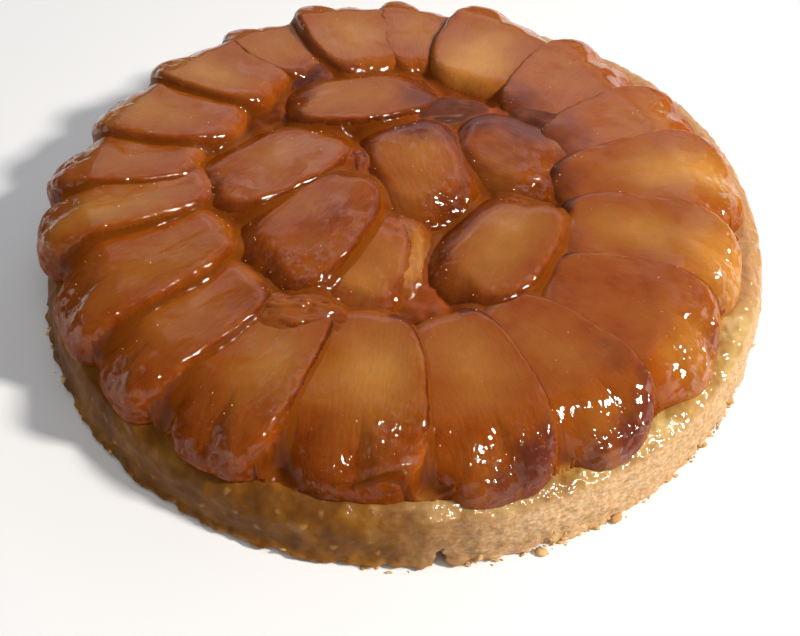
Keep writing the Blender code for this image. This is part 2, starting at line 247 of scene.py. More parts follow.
# Where light shines amber through a thin end: for each slice its spots, as place, reach and strength.
AMBER = {
    "apple_ring_01": ((104, 8, 10, 0.5),),
    "apple_ring_04": ((24, 55, 13, 0.9),),
    "apple_ring_16": ((26, -104, 10, 0.3),),
    "apple_ring_17": ((58, -92, 12, 0.5),),
    "apple_ring_18": ((84, -62, 12, 0.7),),
    "apple_ring_19": ((100, -28, 14, 1.2),),
    "apple_mid_04": ((3, -8, 9, 0.5),),
    "apple_mid_05": ((30, 2, 9, 0.5),),
    "apple_mid_06": ((23, -38, 9, 0.5),),
    "apple_mid_07": ((2, -32, 7, 0.5), (-10, -42, 9, 0.5)),
    "apple_mid_08": ((4, -32, 14, 0.35),),
    "apple_scrap_01": ((-26, -55, 20, 0.15),),
}

# Where the skin of the syrup is puckered, beside the outer ends.
PUCKERED = {
    "apple_ring_14": ((-24, -88, 11, 0.6),),
    "apple_ring_15": ((6, -96, 12, 0.6),),
    "apple_ring_16": ((38, -96, 11, 0.5),),
    "apple_mid_03": ((-14, -22, 6, 0.7), (-25, -40, 7, 0.6)),
    "apple_mid_04": ((12, -8, 8, 0.6),),
    "apple_mid_05": ((52, 8, 8, 0.9),),
}

# Where it is crumpled, and throws a cluster of highlights.
CRUMPLED = {
    "apple_ring_14": ((-25, -88, 10, 0.9),),
    "apple_ring_15": ((4, -97, 12, 0.5),),
    "apple_mid_05": ((50, 5, 10, 1.0), (42, -1, 8, 1.0)),
    "apple_scrap_01": ((-16, -57, 8, 0.8),),
}

# Where sugar burnt on the apple.
BURNT = {
    "apple_ring_01": ((50, 3, 10, 0.7),),
    "apple_ring_02": ((52, 23, 12, 0.8),),
    "apple_ring_03": ((40, 39, 10, 0.9),),
    "apple_ring_04": ((24, 48, 7, 0.25),),
    "apple_ring_06": ((-19, 55, 7, 0.5),),
    "apple_ring_07": ((-31, 54, 9, 0.6),),
    "apple_ring_09": ((-101, 27, 7, 0.3),),
    "apple_ring_10": ((-108, 4, 8, 0.4),),
    "apple_ring_13": ((-41, -50, 9, 0.4),),
    "apple_ring_16": ((38, -101, 8, 1.2), (42, -94, 6, 1.0), (29, -105, 6, 0.9)),
    "apple_ring_17": (
        (70, -82, 7, 1.1),
        (64, -89, 7, 1.1),
        (55, -94, 6, 0.8),
        (69, -74, 5, 1.0),
        (60, -68, 9, 0.45),
        (31, -56, 9, 0.3),
    ),
    "apple_ring_18": ((94, -56, 7, 0.8), (74, -40, 12, 0.3), (43, -41, 9, 0.35)),
    "apple_ring_19": ((52, -24, 9, 0.4),),
    "apple_mid_01": ((8, 40, 10, 0.9),),
    "apple_mid_03": ((-19, -19, 9, 0.45),),
    "apple_mid_04": ((5, 31, 12, 1.3), (18, 26, 9, 1.0)),
    "apple_mid_05": ((37, 16, 15, 0.5), (43, 30, 12, 1.25), (26, 32, 10, 1.1), (57, 13, 9, 0.8)),
}


# The noise: twelve directions to the middles of a cube's edges, large primes that pick one of them at each
# corner of a grid, its gain, and how far apart its octaves lie.
SIGNS = [(a, b) for a in (-1, 1) for b in (-1, 1)]
DIRECTIONS = np.array(
    [(a, b, 0) for a, b in SIGNS] + [(a, 0, b) for a, b in SIGNS] + [(0, a, b) for a, b in SIGNS]
)
PRIMES = (73856093, 19349663, 83492791)
SEED_PRIME = 2654435761
SCRAMBLE = 1274126177
WORD = 0xFFFFFFFF
NOISE_GAIN = 1.6
OCTAVE_SHIFT = 17.3
OCTAVE_SEED = 101


def smooth_noise(places, seed):
    """Gradient noise of about -1 to 1 at many places at once, one lump to a unit."""
    cell = np.floor(places).astype(np.int64)
    part = places - cell
    fade = part**3 * (part * (part * 6 - 15) + 10)
    total = np.zeros(len(places))
    for corner in np.ndindex(2, 2, 2):
        x, y, z = ((cell + corner) * PRIMES).T
        mixed = x ^ y ^ z ^ (seed * SEED_PRIME)
        mixed = ((mixed ^ (mixed >> 13)) * SCRAMBLE) & WORD
        way = DIRECTIONS[(mixed ^ (mixed >> 16)) % len(DIRECTIONS)]
        weight = np.prod(np.where(corner, fade, 1 - fade), axis=1)
        total += weight * np.sum(way * (part - corner), axis=1)
    return total


def lumps(points, width_mm, octaves=1, seed=0):
    """Smooth noise of about -1 to 1 at points in metres, with lumps of this width and finer ones on them."""
    places = np.asarray(points) / (width_mm * MM)
    total = np.zeros(len(places))
    for octave in range(octaves):
        finer = places * 2**octave + OCTAVE_SHIFT * octave
        total += NOISE_GAIN / 2**octave * smooth_noise(finer, seed + OCTAVE_SEED * octave)
    return total


def smooth_step(low, high, value):
    """A soft step from 0 at low to 1 at high, falling where low is the larger."""
    share = np.clip((value - low) / (high - low), 0, 1)
    return share * share * (3 - 2 * share)


def vertex_places(mesh):
    places = np.empty(len(mesh.vertices) * 3)
    mesh.vertices.foreach_get("co", places)
    return places.reshape(-1, 3)


def set_vertex_places(mesh, places):
    mesh.vertices.foreach_set("co", np.ascontiguousarray(places, dtype=np.float64).ravel())
    mesh.update()


def vertex_facings(mesh):
    facings = np.empty(len(mesh.vertices) * 3)
    mesh.vertex_normals.foreach_get("vector", facings)
    return facings.reshape(-1, 3)


def set_marks(mesh, **marks):
    """Values at each vertex, which the materials read by name."""
    for name, values in marks.items():
        made = mesh.attributes.new(name, "FLOAT", "POINT")
        made.data.foreach_set("value", np.ascontiguousarray(values, dtype=np.float64))


def set_grain(mesh, along, across):
    """A UV map in metres, along and across the grain."""
    layer = mesh.uv_layers.new(name="grain")
    corners = np.empty(len(mesh.loops), dtype=np.int64)
    mesh.loops.foreach_get("vertex_index", corners)
    layer.data.foreach_set("uv", np.stack([along[corners], across[corners]], axis=1).ravel())


def finish_piece(piece, material, slot, *replaced):
    """Gives the piece its material, and says what it rides on and what it replaces. The slot is not used."""
    piece.data.materials.append(material)
    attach(piece, "root")
    if replaced:
        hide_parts(*replaced)


def deselect():
    bpy.ops.object.select_all(action="DESELECT")


def ball_pattern(segments, rings):
    """A smooth unit ball, modelled once in each fineness and copied for every piece that starts from it."""
    name = f"ball_{segments}_{rings}"
    if name not in bpy.data.meshes:
        deselect()
        bpy.ops.mesh.primitive_uv_sphere_add(segments=segments, ring_count=rings, radius=1, calc_uvs=False)
        bpy.ops.object.shade_smooth()
        ball = bpy.context.object
        ball.data.name = name
        bpy.data.objects.remove(ball)
    return bpy.data.meshes[name]


def new_piece(name, mesh):
    mesh.name = name
    piece = bpy.data.objects.new(name, mesh)
    bpy.context.scene.collection.objects.link(piece)
    return piece


def new_ball(name, segments, rings):
    return new_piece(name, ball_pattern(segments, rings).copy())


def slice_outline(shape, turn):
    """How far out the edge is at each turn, along and across the slice, as shares of its half sizes."""
    along, across = np.cos(turn), np.sin(turn)
    power = SLICE_SQUARENESS
    reach = (np.abs(along) ** power + np.abs(across) ** power) ** (-1 / power)
    spots = [Vector((a * 0.9 + shape.seed * 7.3, b * 0.9, shape.seed * 1.7)) for a, b in zip(along, across)]
    reach = reach * (1 + SLICE_UNEVEN * np.array([noise.noise(spot) for spot in spots]))
    return along * reach, across * reach


def edge_squareness(shape, along, across):
    """How square the section's shoulder is at each turn: the cut edge is crisp all along, and the peel side
    stays flat where the next slice covers it."""
    head, cut, tail, peel = shape.edges
    end = np.where(along > 0, head, tail)
    if shape.edges == RING_EDGES:
        peel = peel + (COVERED_EDGE - peel) * smooth_step(-0.7, 0.2, -along)
    side = np.where(across > 0, cut, peel)
    share = np.abs(across) ** 1.4
    return end * (1 - share) + side * share


def slice_section(squareness, reach, height, shoulder):
    """Half a section of a slice, from the middle of its foot up its wall to its peak: how far along that way
    each sample is, and its shares of the reach, of the rise above the shoulder and of the wall."""
    foot = np.linspace(0, 1, FOOT_SAMPLES)[:-1]
    wall = np.linspace(0, 1, WALL_SAMPLES)[:-1]
    rise = np.linspace(0, math.pi / 2, TOP_SAMPLES)
    lift = np.sin(rise) ** (2 / squareness)
    share = np.cos(rise) ** (2 / squareness)
    drop = 1 - lift
    flat = np.sqrt((drop - PRESSED_FLAT) ** 2 + PRESSED_EASE**2) + (drop - PRESSED_FLAT)
    flat = flat - flat[-1]
    lift = 1 - flat / flat[0]
    run = np.hypot(np.diff(share) * reach, np.diff(lift) * height * (1 - shoulder))
    run = np.concatenate([[0], np.cumsum(run)])
    top = FOOT_WAY + WALL_WAY
    way = np.concatenate([foot * FOOT_WAY, FOOT_WAY + wall * WALL_WAY, top + (1 - top) * run / run[-1]])
    outs = np.concatenate([foot * TUCK, TUCK + (1 - TUCK) * np.sin(wall * math.pi / 2) ** 0.9, share])
    lifts = np.concatenate([foot * 0, wall * 0, lift])
    walls = np.concatenate([foot * 0, wall, lift * 0 + 1])
    return way, outs, lifts, walls


def shape_slice(ball, shape):
    """Turns the unit ball into the slice, and returns its grain and its lift for the colouring."""
    unit = vertex_places(ball.data)
    turn = np.round(np.arctan2(unit[:, 1], unit[:, 0]) / math.tau * SLICE_TURNS).astype(int) % SLICE_TURNS
    way = np.arcsin(np.clip(unit[:, 2], -1, 1)) / math.pi + 0.5
    angles = math.tau * np.arange(SLICE_TURNS) / SLICE_TURNS
    along, across = slice_outline(shape, angles)
    half_width = (shape.tail * (1 - along) + shape.head * (1 + along)) / 2
    if shape.edges == RING_EDGES:
        lap = smooth_step(0.0, 0.8, -across) * (1 - smooth_step(0.3, 0.85, along))
        half_width = half_width + PEEL_LAP * lap
    length = np.where(along > 0, shape.half_length - shape.drawn_in, shape.half_length)
    reach = np.hypot(along * length, across * half_width)
    height = shape.top - APPLE_BASE
    squareness = edge_squareness(shape, np.cos(angles), np.sin(angles))
    shoulder = np.full(SLICE_TURNS, SHOULDER_HEIGHT)
    if shape.edges == RING_EDGES:
        shoulder += (END_SHOULDER - SHOULDER_HEIGHT) * smooth_step(0.2, 0.9, along)
    share = np.empty(len(unit))
    lift = np.empty(len(unit))
    wall = np.empty(len(unit))
    for i in range(SLICE_TURNS):
        here = np.flatnonzero(turn == i)
        ways, outs, lifts, walls = slice_section(squareness[i], reach[i], height, shoulder[i])
        share[here] = np.interp(way[here], ways, outs)
        lift[here] = np.interp(way[here], ways, lifts)
        wall[here] = np.interp(way[here], ways, walls)
    # The foot spreads where the slice leans on its neighbours.
    if shape.edges == RING_EDGES:
        flare = RING_FLARE * smooth_step(0.3, 1.0, -along)
    else:
        flare = np.full(SLICE_TURNS, ROSETTE_FLARE)
    depth = 1 - wall * shoulder[turn] - lift * (1 - shoulder[turn])
    spread = share * (1 + flare[turn] * depth**2)
    u = along[turn] * spread
    v = across[turn] * spread
    rim = APPLE_BASE + height * shoulder[turn]
    z = APPLE_BASE + (rim - APPLE_BASE) * wall + (shape.top - rim) * lift
    z += lift * (shape.pitch * along + shape.roll * across)[turn] * share
    if shape.edges == RING_EDGES:
        z -= END_DROOP * lift * smooth_step(0.25, 0.95, u)
    heading = math.radians(shape.heading)
    forward = np.array([math.cos(heading), math.sin(heading)])
    left = np.array([-forward[1], forward[0]])
    run_along = u * length[turn]
    run_across = v * half_width[turn]
    flat = np.array([shape.x, shape.y]) + run_along[:, None] * forward + run_across[:, None] * left
    set_vertex_places(ball.data, np.column_stack([flat, z]))
    return run_along, run_across, share, lift


def roughen_slice(ball, name, shape, share, lift, along, across):
    """Cooked flesh: broad dents, softer small ones, wrinkles at the outer end, and a ragged line where a
    sharp edge was cut. Returns how wrinkled the skin is."""
    places = vertex_places(ball.data)
    facings = vertex_facings(ball.data)
    ragged = smooth_step(0.80, 0.93, share * lift)
    side = 1 - smooth_step(0.75, 0.97, lift)
    outer = smooth_step(0.25, 0.75, along / shape.half_length) * smooth_step(0.25, 0.6, share)
    outer *= SMOOTH_SKIN.get(name, 1.0)
    patches = 0.35 + 0.65 * smooth_step(-0.3, 0.6, lumps(places, 11, 2, shape.seed + 200))
    patches *= 0.25 + 0.75 * smooth_step(30, -30, places[:, 1] / MM)
    torn = TORN.get(name, 0.0)
    wrinkled = 0.02 + 0.35 * side + outer * patches + 0.6 * ragged + torn + spots_at(name, places, PUCKERED)
    wrinkled = np.clip(wrinkled, 0, 1)
    push = 0.28 * MM * lumps(places, 17, 1, shape.seed)
    push += 0.07 * MM * lumps(places, 7, 1, shape.seed + 40)
    push += 0.16 * MM * wrinkled * lumps(places, 3.2, 3, shape.seed + 80)
    fibres = np.column_stack([along / 1.6, across, places[:, 2]])
    push += 0.5 * MM * torn * lumps(fibres, 4.0, 2, shape.seed + 160)
    push += 0.24 * MM * ragged * lumps(places, 3.4, 2, shape.seed + 120)
    places = places + facings * push[:, None]
    places[:, 2] = np.minimum(places[:, 2], TOP_LIMIT)
    set_vertex_places(ball.data, places)
    return wrinkled


def pale_at(name, shape, places):
    """How much of the pale flesh shows."""
    if name not in PALE:
        return np.zeros(len(places))
    x, y, reach_along, reach_across, strength = PALE[name]
    heading = math.radians(shape.heading)
    dx, dy = places[:, 0] / MM - x, places[:, 1] / MM - y
    u = (dx * math.cos(heading) + dy * math.sin(heading)) / reach_along
    v = (dy * math.cos(heading) - dx * math.sin(heading)) / reach_across
    return strength * np.exp(-((u * u + v * v) ** 1.15))


def spots_at(name, places, table):
    """How strong this piece's spots in the table are at each point."""
    strongest = np.zeros(len(places))
    for x, y, reach, strength in table.get(name, ()):
        away = np.hypot(places[:, 0] / MM - x, places[:, 1] / MM - y) / reach
        strongest = np.maximum(strongest, strength * np.exp(-(away**2.4)))
    return strongest


def seam_shade_at(shape, places, along, across, lift):
    """How much painted shade darkens the flesh along the edge: a little all round in the rosette, and beside
    the cut in the ring, most where the window's light rakes over it."""
    if shape.edges == RING_EDGES:
        cut_side = smooth_step(0.1, 0.5, across / (9 * MM))
        cut_side *= 1 - smooth_step(0.25, 0.6, along / shape.half_length)
        lit = smooth_step(-60, 0, places[:, 0] / MM) * smooth_step(30, -20, places[:, 1] / MM)
        strength = cut_side * (0.1 + 0.9 * lit)
    else:
        strength = 0.3
    return smooth_step(0.0, 0.07, 1 - lift) * strength


def make_slice(row, seed, material):
    """One cooked slice, with what its material reads at each point."""
    name, x, y, heading, half_length, tail, head, top, pitch, roll, *edges = row
    if name.startswith("apple_mid"):
        half_length, tail, head = half_length + ROSETTE_LAP, tail + ROSETTE_LAP, head + ROSETTE_LAP
    lengths = [value * MM for value in (half_length, tail, head, top, pitch, roll)]
    drawn_in = DRAWN_IN.get(name, 0.0)
    shape = Slice(x * MM, y * MM, heading, *lengths, edges[0] if edges else RING_EDGES, drawn_in, seed)
    piece = new_ball("cooked_" + name, SLICE_TURNS, SLICE_RINGS)
    along, across, share, lift = shape_slice(piece, shape)
    wrinkled = roughen_slice(piece, name, shape, share, lift, along, across)
    places = vertex_places(piece.data)
    set_grain(piece.data, along, across)
    set_marks(
        piece.data,
        pale=pale_at(name, shape, places),
        amber=spots_at(name, places, AMBER),
        burnt=spots_at(name, places, BURNT),
        low=1 - lift,
        # Painted shade along the cut edges.
        seam=seam_shade_at(shape, places, along, across, lift),
        wrinkled=wrinkled + spots_at(name, places, CRUMPLED),
    )
    finish_piece(piece, material, "apple", name)
    return piece


def make_scrap(row, seed, material, slot):
    """A shrunken scrap of peel or apple: a flattened, wrinkled lump."""
    name, x, y, z, heading, half_length, half_width, half_height = row
    piece = new_ball("soft_" + name, SCRAP_TURNS, SCRAP_RINGS)
    unit = vertex_places(piece.data)
    sizes = np.array([half_length, half_width, half_height]) * MM
    facings = unit / sizes
    facings /= np.linalg.norm(facings, axis=1)[:, None]
    small = unit * 0.01
    folds = lumps(unit * np.array([0.008, 0.016, 0.01]), 9, 2, seed)
    wrinkle = 1.6 * smooth_step(-0.15, 0.15, folds) + 0.4 * folds + 0.2 * lumps(small, 3.5, 2, seed + 3) - 0.8
    places = unit * sizes * (1 + 0.13 * lumps(small, 12, 1, seed + 7))[:, None]
    places += facings * (wrinkle * 0.45 * MM * min(1, (half_height / THICK_SCRAP) ** 2))[:, None]
    turned = Matrix.Rotation(math.radians(heading), 3, "Z")
    places = places @ np.array(turned).T + np.array([x, y, z]) * MM
    set_vertex_places(piece.data, places)
    set_grain(piece.data, unit[:, 0] * sizes[0], unit[:, 1] * sizes[1])
    set_marks(
        piece.data,
        pale=np.zeros(len(places)),
        amber=spots_at(name, places, AMBER),
        burnt=0.25 + 0.35 * smooth_step(0.3, -0.9, unit[:, 0]),
        low=0.25 * (1 - unit[:, 2]),
        wrinkled=smooth_step(THIN_SCRAP, THICK_SCRAP, half_height) + spots_at(name, places, CRUMPLED),
    )
    finish_piece(piece, material, slot, name)
    return piece


def crust_section():
    """Samples of the pastry's section from its foot over the rim to its floor: radius, height, and the shares
    of the jaggedness, of the bulge of its wall and of the rise of its rim, as the solid has them."""
    corners = (
        (CRUST_RADIUS - 4.0 * MM, 0.0, 0.3, 0.5, 0.0),
        (CRUST_RADIUS - 0.5 * MM, 1.0 * MM, 0.9, 0.5, 0.0),
        (CRUST_RADIUS - 0.1 * MM, 1.7 * MM, 1.0, 0.5, 0.0),
        (CRUST_RADIUS - 1.1 * MM, 3.2 * MM, 0.5, 0.8, 0.0),
        (CRUST_RADIUS - 1.3 * MM, 8.5 * MM, 0.25, 1.0, 0.2),
        (CRUST_RADIUS - 2.2 * MM, 13.2 * MM, 0.2, 1.0, 0.6),
        (CRUST_RADIUS - 4.0 * MM, CRUST_SHOULDER - 2.6 * MM, 0.25, 1.2, 1.0),
        (SHOULDER_RADIUS + 2.6 * MM, CRUST_SHOULDER - 0.2 * MM, 0.3, 1.2, 1.0),
        (SHOULDER_RADIUS - 2.2 * MM, CRUST_SHOULDER - 0.6 * MM, 0.3, 0.4, 0.4),
        (FLOOR_RADIUS, CRUST_FLOOR + 1.0 * MM, 0.0, 0.0, 0.0),
        (FLOOR_RADIUS - 4 * MM, CRUST_FLOOR, 0.0, 0.0, 0.0),
    )
    corners = np.array(corners)
    run = np.concatenate([[0], np.cumsum(np.hypot(*np.diff(corners[:, :2], axis=0).T))])
    count = int(run[-1] / CRUST_SPACING)
    samples = np.linspace(0, run[-1], count)
    section = np.column_stack([np.interp(samples, run, corners[:, k]) for k in range(5)])
    # The corners of the section are eased by averaging neighbours.
    for _ in range(2):
        section[1:-1] = (section[:-2] + 2 * section[1:-1] + section[2:]) / 4
    return section


def wrapped(angle):
    """The angle brought between half a turn back and half a turn on."""
    return (angle + math.pi) % math.tau - math.pi


def crack_at(angle, height):
    """How deep the crack is here, from 0 to 1."""
    aside = wrapped(angle - math.radians(CRACK_ANGLE)) * CRUST_RADIUS
    wander = 0.5 * MM * np.sin(height / MM * 1.9) + 0.25 * MM * np.sin(height / MM * 4.3)
    half = CRACK_WIDTH / 2 * np.clip(1 - height / (CRACK_HEIGHT * 1.05), 0, 1) ** 0.8
    depth = np.clip(1 - np.abs(aside - wander) / np.maximum(half, 0.05 * MM), 0, 1)
    return np.minimum(1, 2 * depth * (height < CRACK_HEIGHT))


def dryness_at(angle):
    """How dry the wall is: crumbly round the right side, soaked with caramel at the left."""
    degrees = np.degrees(wrapped(angle))
    return smooth_step(*DRY_FROM, degrees) * (1 - smooth_step(*DRY_TO, degrees))


def foot_radius(angle):
    """How far out the pastry's foot stands, as the solid has it."""
    return CRUST_RADIUS + 0.5 * BULGE * np.cos(angle - math.radians(BULGE_ANGLE))


def crust_points(section):
    """Every point of the pastry's rings, before its relief: its angle, its radius and its height."""
    steps = np.arange(CRUST_TURNS) / CRUST_TURNS * math.tau
    # Steps crowd together at the crack, so that its sides are crisp.
    away = wrapped(steps - math.radians(CRACK_ANGLE))
    steps -= 0.045 * np.sin(away) * np.exp(-np.abs(away) / 0.5)
    level, angle = np.meshgrid(np.arange(len(section)), steps, indexing="ij")
    angle = angle.ravel()
    radius, z, jagged, bulging, rising = section[level.ravel()].T
    across, along = np.cos(angle), np.sin(angle)
    ring = np.column_stack([across, along, np.zeros(len(across))])
    wave = lumps(ring * 0.01 * 1.6 + np.array([0, 0, 0.031]), 10)
    coarse = lumps(np.column_stack([across * 23, along * 23, z / MM * 0.12 + 5.7]) * 0.01, 10)
    pit = lumps(np.column_stack([across * 17, along * 17, z / MM * 0.3]) * 0.01, 10)
    bulge = BULGE * bulging * np.cos(angle - math.radians(BULGE_ANGLE))
    risen = rising * np.maximum(0, np.cos(angle - math.radians(RIM_RISE_ANGLE))) ** 3
    out = radius + bulge + RIM_SPREAD * risen + 0.35 * MM * wave + 0.9 * MM * jagged * coarse
    z = z + RIM_RISE * risen + 0.45 * MM * jagged * pit * (z > 1 * MM)
    return angle, out, z


def crust_relief(places, angle, out, wall, foot, knobs):
    """Moves the pastry's points to its baked surface: grit, chunks and knobs, a flaky foot and the crack."""
    z = places[:, 2]
    grit = (0.12 + 0.2 * dryness_at(angle)) * MM * lumps(places, 2.4, 4, 3)
    grow = wall * (grit + 0.38 * MM * lumps(places, 7, 2, 9) + 0.9 * MM * knobs)
    low_wall = wall * np.exp(-z / (5 * MM))
    grow += 0.4 * MM * low_wall * lumps(places * np.array([1, 1, 2.2]), 3.5, 3, 91)
    flaky = lumps(places * np.array([1, 1, 2.0]), 4.2, 4, 21)
    grow += foot * (0.48 * MM * flaky + 0.3 * MM * lumps(places, 12, 2, 25))
    grow -= CRACK_DEPTH * crack_at(angle, z) * (out > 105 * MM)
    lift = foot * np.maximum(0, lumps(places, 5, 3, 31)) * 1.7 * MM * (z > 0.3 * MM)
    outward = np.column_stack([np.cos(angle), np.sin(angle), np.zeros(len(angle))])
    upward = smooth_step(14 * MM, 19 * MM, z)[:, None]
    facing = outward * (1 - upward) + np.array([0, 0, 1]) * upward
    places = places + facing * grow[:, None]
    places[:, 2] = np.maximum(0, places[:, 2] + lift)
    places[:CRUST_TURNS, 2] = 0
    # Nothing stands out beyond the foot of the solid.
    widest = foot_radius(angle) + FOOT_LIMIT
    places[:, :2] *= np.minimum(1, widest / np.hypot(places[:, 0], places[:, 1]))[:, None]
    return np.clip(places, *np.array(cad_box))


def rings_mesh(name, rings):
    """A closed mesh through these rings of points, from its flat underside up."""
    build = bmesh.new()
    rows = [[build.verts.new(place) for place in ring] for ring in rings.tolist()]
    for lower, upper in zip(rows, rows[1:]):
        for i in range(len(lower)):
            j = (i + 1) % len(lower)
            build.faces.new((lower[i], lower[j], upper[j], upper[i]))
    build.faces.new(reversed(rows[0]))
    build.faces.new(rows[-1])
    mesh = bpy.data.meshes.new(name)
    build.to_mesh(mesh)
    build.free()
    mesh.shade_smooth()
    return mesh


def make_crust(material):
    """The pastry, thrown as a ring of levels, with crumbs, a ragged foot and a crack."""
    section = crust_section()
    angle, out, z = crust_points(section)
    smooth = np.column_stack([out * np.cos(angle), out * np.sin(angle), z])
    wall = smooth_step(0.2 * MM, 1.5 * MM, z) * smooth_step(98 * MM, 103 * MM, out)
    foot = np.exp(-z / (1.8 * MM)) * (out > 108 * MM)
    knobs = np.maximum(0, lumps(smooth, 3.0, 1, 57) - 0.8)
    places = crust_relief(smooth, angle, out, wall, foot, knobs)
    mesh = rings_mesh("baked_crust", places.reshape(len(section), CRUST_TURNS, 3))
    # Pale flakes on the ragged foot, made paler still as painted light where the foot's underside lies in
    # shade; knobs on the wall are paler too.
    frayed_foot_lit = 0.8 * foot * smooth_step(-0.3, 0.8, lumps(places, 4, 2, 63))
    set_marks(
        mesh,
        dry=dryness_at(angle),
        ledge=smooth_step(15.5 * MM, 18.5 * MM, places[:, 2]),
        # How deep the crack is; the material paints shade inside it.
        crack=crack_at(angle, z),
        golden=1 - smooth_step(*GOLDEN_FROM, np.degrees(wrapped(angle))),
        edge=frayed_foot_lit + 0.4 * wall * smooth_step(0.0, 0.3, knobs),
    )
    piece = new_piece("baked_crust", mesh)
    finish_piece(piece, material, "crust", "crust")
    return piece


def heights_below(pieces, x, y):
    """Height of the highest surface under each point of the grid, and 0 where there is none."""
    places, faces, start = [], [], 0
    for piece in pieces:
        here = vertex_places(piece.data)
        places.extend(here.tolist())
        small = [face.vertices for face in piece.data.polygons if len(face.vertices) < 5]
        faces.extend([tuple(start + k for k in face) for face in small])
        start += len(here)
    tree = BVHTree.FromPolygons(places, faces)
    down = Vector((0, 0, -1))
    heights = np.zeros(x.shape)
    for spot in np.ndindex(x.shape):
        hit = tree.ray_cast(Vector((x[spot], y[spot], ABOVE_ALL)), down)[0]
        heights[spot] = hit.z if hit else 0.0
    return heights


def rolled(heights, radius, step, upwards):
    """Heights that a ball of this radius reaches when it rolls over them (upwards) or under them."""
    reach = int(radius / step)
    padded = np.pad(heights, reach, mode="edge")
    best = np.full(heights.shape, -1.0 if upwards else 1.0)
    rows, columns = heights.shape
    for i in range(-reach, reach + 1):
        for j in range(-reach, reach + 1):
            away = (i * i + j * j) * step * step
            if away > radius * radius:
                continue
            bowl = math.sqrt(radius * radius - away) - radius
            shifted = padded[reach + i : reach + i + rows, reach + j : reach + j + columns]
            best = np.maximum(best, shifted + bowl) if upwards else np.minimum(best, shifted - bowl)
    return best


def blurred(values, times):
    for _ in range(times):
        near = np.pad(values, 1, mode="edge")
        values = (4 * values + near[:-2, 1:-1] + near[2:, 1:-1] + near[1:-1, :-2] + near[1:-1, 2:]) / 8
    return values


def glaze_heights(solid, x, y, step):
    """How high the caramel would fill the grid: fillets as tight as the ball that rolls through them, wider
    in the middle and widest at the outer edge, and a pool between the inner pieces."""
    balls = (GLAZE_BALL, CENTRE_BALL, SKIRT_BALL)
    filled, centre, skirt = [rolled(rolled(solid, ball, step, True), ball, step, False) for ball in balls]
    away = np.hypot(x, y)
    inner = 1 - smooth_step(*CENTRE_EDGE, away)
    outer = smooth_step(*SKIRT_EDGE, away)
    filled = filled * (1 - inner) * (1 - outer) + centre * inner + skirt * outer
    jelly = lumps(np.column_stack([x.ravel(), y.ravel(), x.ravel() * 0]), 7, 2, 77).reshape(x.shape)
    pool = POOL_HEIGHT + 0.8 * MM * jelly + 1.6 * MM * smooth_step(0, 40 * MM, y)
    return blurred(np.where(away < POOL_RADIUS, np.maximum(filled, pool), filled), 2)


def pooled_at(places):
    """How deep and red the caramel stands."""
    pooled = np.zeros(len(places))
    for x, y, reach in JELLY_POOLS:
        away = np.hypot(places[:, 0] / MM - x, places[:, 1] / MM - y) / reach
        pooled = np.maximum(pooled, np.exp(-(away**3)))
    return pooled


def close_glaze(mesh, step):
    """Cuts the sheet round, and gives it a wall and a flat underside."""
    build = bmesh.new()
    build.from_mesh(mesh)
    outside = [v for v in build.verts if math.hypot(v.co.x, v.co.y) > GLAZE_RADIUS - step]
    bmesh.ops.delete(build, geom=outside, context="VERTS")
    loose = [v for v in build.verts if not v.link_faces]
    bmesh.ops.delete(build, geom=loose, context="VERTS")
    border = [e for e in build.edges if e.is_boundary]
    wall = bmesh.ops.extrude_edge_only(build, edges=border)["geom"]
    for v in [g for g in wall if isinstance(g, bmesh.types.BMVert)]:
        v.co.z = GLAZE_FOOT
    rim = [g for g in wall if isinstance(g, bmesh.types.BMEdge) and g.is_boundary]
    bmesh.ops.edgeloop_fill(build, edges=rim)
    bmesh.ops.recalc_face_normals(build, faces=build.faces)
    build.to_mesh(mesh)
    build.free()
    mesh.shade_smooth()


def make_glaze(pieces, material):
    """Caramel: a sheet just under the apple, which rises into a soft fillet wherever two pieces meet."""
    count = int(2 * GLAZE_RADIUS / GLAZE_STEP)
    deselect()
    bpy.ops.mesh.primitive_grid_add(x_subdivisions=count, y_subdivisions=count, size=2 * GLAZE_RADIUS)
    piece = bpy.context.object
    piece.name = piece.data.name = "caramel_glaze"
    side = np.linspace(-GLAZE_RADIUS, GLAZE_RADIUS, count + 1)
    step = side[1] - side[0]
    x, y = np.meshgrid(side, side, indexing="ij")
    solid = heights_below(pieces, x, y)
    depth = glaze_heights(solid, x, y, step) - solid
    sheet = solid + depth * smooth_step(0.15 * MM, 0.9 * MM, depth) - GLAZE_UNDER

    places = vertex_places(piece.data)
    i, j = np.round((places[:, :2] + GLAZE_RADIUS) / step).astype(int).T
    places[:, 2] = sheet[i, j]
    set_vertex_places(piece.data, places)
    golden = dryness_at(np.arctan2(places[:, 1], places[:, 0]))
    set_marks(
        piece.data,
        deep=np.clip(depth[i, j] / (6 * MM), 0, 1),
        pooled=pooled_at(places),
        ledge=golden * (1 - smooth_step(19.5 * MM, 22.5 * MM, places[:, 2])),
    )
    close_glaze(piece.data, step)
    finish_piece(piece, material, "caramel", "caramel")


